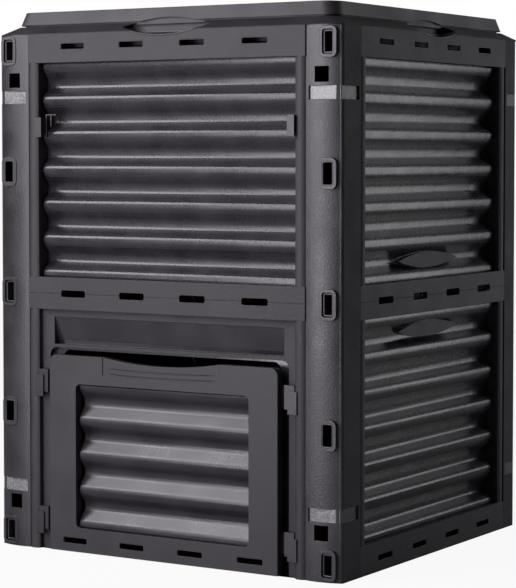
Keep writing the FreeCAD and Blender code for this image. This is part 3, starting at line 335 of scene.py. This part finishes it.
@dataclass
class Walls:
    """The four posts and the eight corrugated panels."""

    posts: tuple[str, ...] = tuple(
        "corner_post_%s_%s" % (end, side) for end in ("front", "rear") for side in ("left", "right"))
    panels: tuple[str, ...] = ("front_upper_panel",) + tuple(
        "%s_%s_panel" % (side, half) for side in ("rear", "left", "right") for half in ("upper", "lower"))
    door_frame: str = "front_lower_panel"

    def build(self) -> None:
        """Dresses the posts, the panels and the frame that holds the door."""
        sheet, post = SHEET.make(), POST.make()
        for node in self.posts:
            dress(node, post)
        for node in self.panels:
            dress(node, sheet)
        dress(self.door_frame, DOOR_FRAME.make())


@dataclass
class Cover:
    """The collar, the lid and its hinge pins."""

    mouldings: tuple[str, ...] = ("top_collar", "lid")
    pins: tuple[str, ...] = ("lid_hinge_pin_left", "lid_hinge_pin_right")

    def build(self) -> None:
        """Dresses the cover's pieces."""
        lid, clip = LID.make(), CLIP.make()
        for node in self.mouldings:
            dress(node, lid)
        for node in self.pins:
            dress(node, clip)


@dataclass
class Door:
    """The lift-out door, the clips that hold it and the blocks on the jambs above it."""

    leaf: str = "door"
    clips: tuple[str, ...] = tuple(
        "%s_%s" % (clip, side) for side in ("left", "right")
        for clip in ("door_guide_upper", "door_guide_lower", "panel_clip"))

    def build(self) -> None:
        """Dresses the door and the clips."""
        dress(self.leaf, DOOR.make())
        clip = CLIP.make()
        for node in self.clips:
            dress(node, clip)


@dataclass
class RimRow:
    """A row of equal rims: rounded upright rings, one after another at equal steps."""

    facing: Facing
    size_mm: tuple[float, float]
    corner_mm: float
    wall_mm: float
    depth_mm: float
    first_mm: tuple[float, float, float]
    step_mm: tuple[float, float, float]
    count: int

    def inputs(self) -> dict[str, Any]:
        """The tree's inputs for this row, in metres and radians."""
        return {
            "Width": self.size_mm[0] * MM, "Height": self.size_mm[1] * MM, "Corner": self.corner_mm * MM,
            "Wall": self.wall_mm * MM, "Depth": self.depth_mm * MM, "Count": self.count,
            "First": Vector(self.first_mm) * MM, "Step": Vector(self.step_mm) * MM,
            "Turn": math.radians(self.facing.value),
        }


@dataclass
class Rims:
    """What repeats along the walls: the liners of the slots, and the sleeves and rings in the posts."""

    # The slots in the bands, the liners just inside them, and their pitches and levels.
    slot_mm: tuple[float, float] = (44.7, 10.2)
    slot_corner_mm: float = 3.0
    slot_count: int = 4
    liner_wall_mm: float = 0.9
    liner_depth_mm: float = 2.6
    liner_back_mm: float = 0.2
    slot_pitch_mm: float = 108.3
    door_pitch_mm: float = 104.7
    upper_level_mm: float = 771.2
    lower_level_mm: float = 19.8
    door_level_mm: float = 19.0
    # The sleeves, which stand back in the lowest, the middle and the top ringed slot of a post.
    sleeve_mm: tuple[float, float] = (17.3, 33.8)
    sleeve_corner_mm: float = 3.4
    sleeve_wall_mm: float = 2.9
    sleeve_depth_mm: float = 21.5
    sleeve_back_mm: float = 1.5
    sleeve_first_mm: float = 24.5
    sleeve_count: int = 3
    # The inner rings of the two slots between them.
    ring_mm: tuple[float, float] = (18.9, 35.4)
    ring_corner_mm: float = 4.2
    ring_wall_mm: float = 2.3
    ring_depth_mm: float = 4.0
    ring_proud_mm: float = 1.1
    ring_first_mm: float = 210.0
    ring_count: int = 2
    ring_pitch_mm: float = 371.0
    # The slots' places across the front and the rear posts.
    front_x_mm: float = 284.0
    rear_x_mm: float = 276.0
    # How finely a rim's corners and edges are rounded, and how much of its wall an edge's radius takes.
    corner_steps: int = 5
    edge_share: float = 0.3
    edge_steps: int = 2

    def liners(self, facing: Facing, plane: float, level: float, pitch: float) -> RimRow:
        """The liners of one row of four slots.

        Args:
            facing: The side they look to.
            plane: The face's distance from the middle of the bin, in millimetres.
            level: The slots' height above the ground.
            pitch: Slot to slot.

        Returns:
            The row.
        """
        back = self.liner_back_mm + self.liner_depth_mm / 2
        first = -(self.slot_count - 1) / 2 * pitch
        width, height = (side - self.liner_wall_mm for side in self.slot_mm)
        return RimRow(facing, (width, height), self.slot_corner_mm - self.liner_wall_mm / 2,
                      self.liner_wall_mm, self.liner_depth_mm, (first, back - plane, level),
                      (pitch, 0.0, 0.0), self.slot_count)

    def sleeves(self, facing: Facing, x: float) -> RimRow:
        """The sleeves in one post, in the slots that hold the side panels' tabs.

        Args:
            facing: The side the post's rounded face looks to.
            x: The slots' place across that side.

        Returns:
            The row.
        """
        back = self.sleeve_back_mm + self.sleeve_depth_mm / 2 - HALF_Y / MM
        width, height = (side - self.sleeve_wall_mm for side in self.sleeve_mm)
        return RimRow(facing, (width, height), self.sleeve_corner_mm - self.sleeve_wall_mm / 2,
                      self.sleeve_wall_mm, self.sleeve_depth_mm, (x, back, self.sleeve_first_mm),
                      (0.0, 0.0, self.ring_pitch_mm), self.sleeve_count)

    def rings(self, facing: Facing, x: float) -> RimRow:
        """The inner rings of the slots between the sleeves, which stand a little proud of the post.

        Args:
            facing: The side the post's rounded face looks to.
            x: The slots' place across that side.

        Returns:
            The row.
        """
        back = self.ring_depth_mm / 2 - self.ring_proud_mm - HALF_Y / MM
        width, height = (side - self.ring_wall_mm for side in self.ring_mm)
        return RimRow(facing, (width, height), self.ring_corner_mm - self.ring_wall_mm / 2,
                      self.ring_wall_mm, self.ring_depth_mm, (x, back, self.ring_first_mm),
                      (0.0, 0.0, self.ring_pitch_mm), self.ring_count)

    def tree(self, material: bpy.types.Material) -> bpy.types.GeometryNodeTree:
        """Builds the tree that makes one row.

        Args:
            material: The material of every rim.

        Returns:
            The tree, with its sizes as named inputs.
        """
        tree = bpy.data.node_groups.new("rim_row", "GeometryNodeTree")
        for name, kind in (("Width", "Float"), ("Height", "Float"), ("Corner", "Float"), ("Wall", "Float"),
                           ("Depth", "Float"), ("Count", "Int"), ("First", "Vector"), ("Step", "Vector"),
                           ("Turn", "Float")):
            tree.interface.new_socket(name, in_out="INPUT", socket_type="NodeSocket" + kind)
        tree.interface.new_socket("Geometry", in_out="OUTPUT", socket_type="NodeSocketGeometry")
        given = add_node(tree, "NodeGroupInput").outputs
        outline = add_node(tree, "GeometryNodeCurvePrimitiveQuadrilateral", {}, {
            "Width": given["Width"], "Height": given["Height"]})
        rounded = add_node(tree, "GeometryNodeFilletCurve", {"mode": "POLY"}, {
            "Curve": outline.outputs["Curve"], "Count": self.corner_steps, "Radius": given["Corner"]})
        section = add_node(tree, "GeometryNodeCurvePrimitiveQuadrilateral", {}, {
            "Width": given["Wall"], "Height": given["Depth"]})
        edge = add_node(tree, "ShaderNodeMath", {"operation": "MULTIPLY"}, {
            0: given["Wall"], 1: self.edge_share})
        softened = add_node(tree, "GeometryNodeFilletCurve", {"mode": "POLY"}, {
            "Curve": section.outputs["Curve"], "Count": self.edge_steps, "Radius": edge.outputs["Value"]})
        rim = add_node(tree, "GeometryNodeCurveToMesh", {}, {
            "Curve": rounded.outputs["Curve"], "Profile Curve": softened.outputs["Curve"]})
        upright = add_node(tree, "GeometryNodeTransform", {}, {
            "Geometry": rim.outputs["Mesh"], "Rotation": (math.radians(90), 0.0, 0.0)})
        line = add_node(tree, "GeometryNodeMeshLine", {"mode": "OFFSET", "count_mode": "TOTAL"}, {
            "Count": given["Count"], "Start Location": given["First"], "Offset": given["Step"]})
        copies = add_node(tree, "GeometryNodeInstanceOnPoints", {}, {
            "Points": line.outputs["Mesh"], "Instance": upright.outputs["Geometry"]})
        about = add_node(tree, "ShaderNodeCombineXYZ", {}, {"Z": given["Turn"]})
        turned = add_node(tree, "GeometryNodeTransform", {}, {
            "Geometry": copies.outputs["Instances"], "Rotation": about.outputs["Vector"]})
        real = add_node(tree, "GeometryNodeRealizeInstances", {}, {"Geometry": turned.outputs["Geometry"]})
        dressed = add_node(tree, "GeometryNodeSetMaterial", {}, {
            "Geometry": real.outputs["Geometry"], "Material": material})
        add_node(tree, "NodeGroupOutput", {}, {"Geometry": dressed.outputs["Geometry"]})
        return tree

    def row_mesh(self, tree: bpy.types.GeometryNodeTree, row: RimRow) -> bpy.types.Mesh:
        """Runs the tree for one row.

        Args:
            tree: The tree.
            row: The row's sizes.

        Returns:
            The row as a plain mesh.
        """
        carrier = bpy.data.objects.new("rim_row_carrier", bpy.data.meshes.new("rim_row_carrier"))
        bpy.context.scene.collection.objects.link(carrier)
        modifier = carrier.modifiers.new("rim_row", "NODES")
        modifier.node_group = tree
        values = row.inputs()
        for item in tree.interface.items_tree:
            if item.in_out == "INPUT":
                modifier[item.identifier] = values[item.name]
        graph = bpy.context.evaluated_depsgraph_get()
        mesh = bpy.data.meshes.new_from_object(carrier.evaluated_get(graph), depsgraph=graph)
        carrier.modifiers.remove(modifier)
        bpy.data.objects.remove(carrier)
        return mesh

    def piece(self, name: str, body: str, finish: MouldedPlastic, rows: list[RimRow]) -> None:
        """Makes one piece of several rows and lets it ride on a body.

        Args:
            name: The piece's name.
            body: The body that it rides on.
            finish: Its finish.
            rows: Its rows.
        """
        material = finish.make()
        tree = self.tree(material)
        joined = bmesh.new()
        for row in rows:
            mesh = self.row_mesh(tree, row)
            joined.from_mesh(mesh)
            bpy.data.meshes.remove(mesh)
        bmesh.ops.recalc_face_normals(joined, faces=joined.faces)
        mesh = bpy.data.meshes.new(name)
        joined.to_mesh(mesh)
        joined.free()
        mesh.materials.clear()
        mesh.materials.append(material)
        thing = bpy.data.objects.new(name, mesh)
        bpy.context.scene.collection.objects.link(thing)
        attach(thing, body)
        log.info("%s: %d faces", name, len(mesh.polygons))

    def build(self) -> None:
        """Makes the walls' liners, the posts' sleeves and rings, and the door's liners."""
        planes = {Facing.FRONT: HALF_Y, Facing.RIGHT: HALF_X, Facing.REAR: HALF_Y, Facing.LEFT: HALF_X}
        rows = []
        for facing, plane in planes.items():
            rows.append(self.liners(facing, plane / MM, self.upper_level_mm, self.slot_pitch_mm))
            if facing is not Facing.FRONT:
                rows.append(self.liners(facing, plane / MM, self.lower_level_mm, self.slot_pitch_mm))
        self.piece("wall_slot_liners", "bin", RIM, rows)
        posts = [(facing, x * side) for side in (-1, 1) for facing, x in (
            (Facing.FRONT, self.front_x_mm), (Facing.REAR, self.rear_x_mm))]
        self.piece("panel_tab_sleeves", "bin", SLEEVE, [self.sleeves(*post) for post in posts])
        self.piece("post_slot_rings", "bin", SLEEVE, [self.rings(*post) for post in posts])
        door_face = -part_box("door")[0][1] / MM
        self.piece("door_slot_liners", "door", RIM, [
            self.liners(Facing.FRONT, door_face, self.door_level_mm, self.door_pitch_mm)])


@dataclass
class SoftBox:
    """A rectangular studio lamp, an upright strip unless a size is given. Places and sizes are in metres."""

    name: str
    place: tuple[float, float, float]
    aim: tuple[float, float, float]
    watts: float
    size: tuple[float, float] = (0.45, 1.68)

    def build(self) -> None:
        """Adds the lamp, turned towards its aim."""
        data = bpy.data.lights.new(self.name, "AREA")
        data.shape = "RECTANGLE"
        data.size, data.size_y = self.size
        data.energy = self.watts
        lamp = bpy.data.objects.new(self.name, data)
        lamp.location = self.place
        lamp.visible_camera = False
        away = Vector(self.aim) - Vector(self.place)
        lamp.rotation_euler = away.to_track_quat("-Z", "Y").to_euler()
        bpy.context.scene.collection.objects.link(lamp)


@dataclass
class Studio:
    """The white room: a floor that keeps a soft shadow, the lamps and the camera.

    Places are in metres, the camera's turn and tilt in degrees.
    """

    floor_half: float = 30.0
    floor_paint: str = "#b2b2b2"
    # Near-black paint on the floor under the bin: painted shade that keeps the bin's inside dark.
    shade_paint: str = "#0c0c0c"
    shade_half: float = 0.29
    floor_glow: float = 0.93
    fill_strength: float = 0.12
    camera_place: tuple[float, float, float] = (1.7906, -2.9112, 0.6115)
    camera_turn: float = 31.82
    camera_tilt: float = -2.65
    lens: float = 131.2
    shift_y: float = -0.0731
    clip_end: float = 100.0
    lamps: list[SoftBox] = field(default_factory=lambda: [
        SoftBox("key_near", (-0.42, -1.65, 0.86), (0.10, -0.30, 0.86), 24.0),
        SoftBox("key_far", (-0.85, -1.50, 0.86), (0.10, -0.30, 0.86), 3.0),
        SoftBox("key_high", (-1.04, -1.22, 1.36), (0.05, -0.30, 0.70), 20.0, (0.55, 1.1)),
        SoftBox("front_fill", (0.0, -1.75, 0.86), (0.15, -0.30, 0.86), 6.0),
        SoftBox("back_right", (0.95, 1.00, 0.86), (0.30, 0.0, 0.86), 5.5),
        SoftBox("overhead", (0.0, -0.6, 3.0), (0.0, 0.0, 0.5), 3.0, (1.6, 1.2)),
    ])

    def white(self, tree: bpy.types.NodeTree) -> bpy.types.NodeSocket:
        """A factor that is 1 where the camera sees the surface, straight or through something clear.

        Args:
            tree: The tree of a stage material or the world.

        Returns:
            The factor's socket.
        """
        path = add_node(tree, "ShaderNodeLightPath")
        first = add_node(tree, "ShaderNodeMath", {"operation": "MAXIMUM"}, {
            0: path.outputs["Is Camera Ray"], 1: path.outputs["Is Transmission Ray"]})
        return first.outputs["Value"]

    def floor(self) -> None:
        """Adds the floor. It is white to the camera, apart from the dark paint under the bin, which is
        painted shade.
        """
        half = self.floor_half
        mesh = bpy.data.meshes.new("studio_floor")
        mesh.from_pydata([(-half, -half, 0), (half, -half, 0), (half, half, 0), (-half, half, 0)], [],
                         [(0, 1, 2, 3)])
        thing = bpy.data.objects.new("studio_floor", mesh)
        bpy.context.scene.collection.objects.link(thing)
        material = bpy.data.materials.new("studio_floor_paint")
        material.use_nodes = True
        tree = material.node_tree
        tree.nodes.clear()
        place = add_node(tree, "ShaderNodeTexCoord").outputs["Object"]
        split = add_node(tree, "ShaderNodeSeparateXYZ", {}, {"Vector": place})
        edges = [add_node(tree, "ShaderNodeMath", {"operation": "ABSOLUTE"}, {0: split.outputs[axis]})
                 for axis in ("X", "Y")]
        far = add_node(tree, "ShaderNodeMath", {"operation": "MAXIMUM"}, {
            0: edges[0].outputs["Value"], 1: edges[1].outputs["Value"]})
        outside = add_node(tree, "ShaderNodeMath", {"operation": "GREATER_THAN"}, {
            0: far.outputs["Value"], 1: self.shade_half})
        seen = add_node(tree, "ShaderNodeMath", {"operation": "MULTIPLY"}, {
            0: self.white(tree), 1: outside.outputs["Value"]})
        mostly = add_node(tree, "ShaderNodeMath", {"operation": "MULTIPLY"}, {
            0: seen.outputs["Value"], 1: self.floor_glow})
        # Inside the bin's outline the floor gets the dark paint, as painted shade.
        shade = add_node(tree, "ShaderNodeMix", {"data_type": "RGBA"}, {
            "Factor": outside.outputs["Value"], 6: linear(self.shade_paint), 7: linear(self.floor_paint)})
        paint = add_node(tree, "ShaderNodeBsdfDiffuse", {}, {"Color": shade.outputs[2]})
        glow = add_node(tree, "ShaderNodeEmission", {}, {"Color": (1, 1, 1, 1), "Strength": 1.0})
        mix = add_node(tree, "ShaderNodeMixShader", {}, {
            0: mostly.outputs["Value"], 1: paint.outputs["BSDF"], 2: glow.outputs["Emission"]})
        add_node(tree, "ShaderNodeOutputMaterial", {}, {"Surface": mix.outputs["Shader"]})
        mesh.materials.append(material)

    def world(self) -> None:
        """Sets a dim even fill that the camera sees as white."""
        world = bpy.data.worlds.new("studio_world")
        world.use_nodes = True
        bpy.context.scene.world = world
        tree = world.node_tree
        tree.nodes.clear()
        fill = add_node(tree, "ShaderNodeBackground", {}, {
            "Color": (1, 1, 1, 1), "Strength": self.fill_strength})
        white = add_node(tree, "ShaderNodeBackground", {}, {"Color": (1, 1, 1, 1), "Strength": 1.0})
        mix = add_node(tree, "ShaderNodeMixShader", {}, {
            0: self.white(tree), 1: fill.outputs["Background"], 2: white.outputs["Background"]})
        add_node(tree, "ShaderNodeOutputWorld", {}, {"Surface": mix.outputs["Shader"]})

    def camera(self) -> None:
        """Adds the camera at the photograph's viewpoint."""
        data = bpy.data.cameras.new("camera")
        data.lens = self.lens
        data.shift_y = self.shift_y
        data.clip_end = self.clip_end
        thing = bpy.data.objects.new("camera", data)
        thing.location = self.camera_place
        thing.rotation_euler = (math.radians(90 + self.camera_tilt), 0.0, math.radians(self.camera_turn))
        bpy.context.scene.collection.objects.link(thing)
        bpy.context.scene.camera = thing

    def build(self) -> None:
        """Builds the floor, the world, the lamps and the camera."""
        self.floor()
        self.world()
        for lamp in self.lamps:
            lamp.build()
        self.camera()
        bpy.context.scene.view_settings.view_transform = "Standard"


def main() -> None:
    """Builds the classes in order."""
    logging.basicConfig(level=logging.INFO, format="%(name)s: %(message)s")
    for part in (Walls(), Cover(), Door(), Rims(), Studio()):
        part.build()
        log.info("built %s", type(part).__name__)


if __name__ == "__main__":
    main()
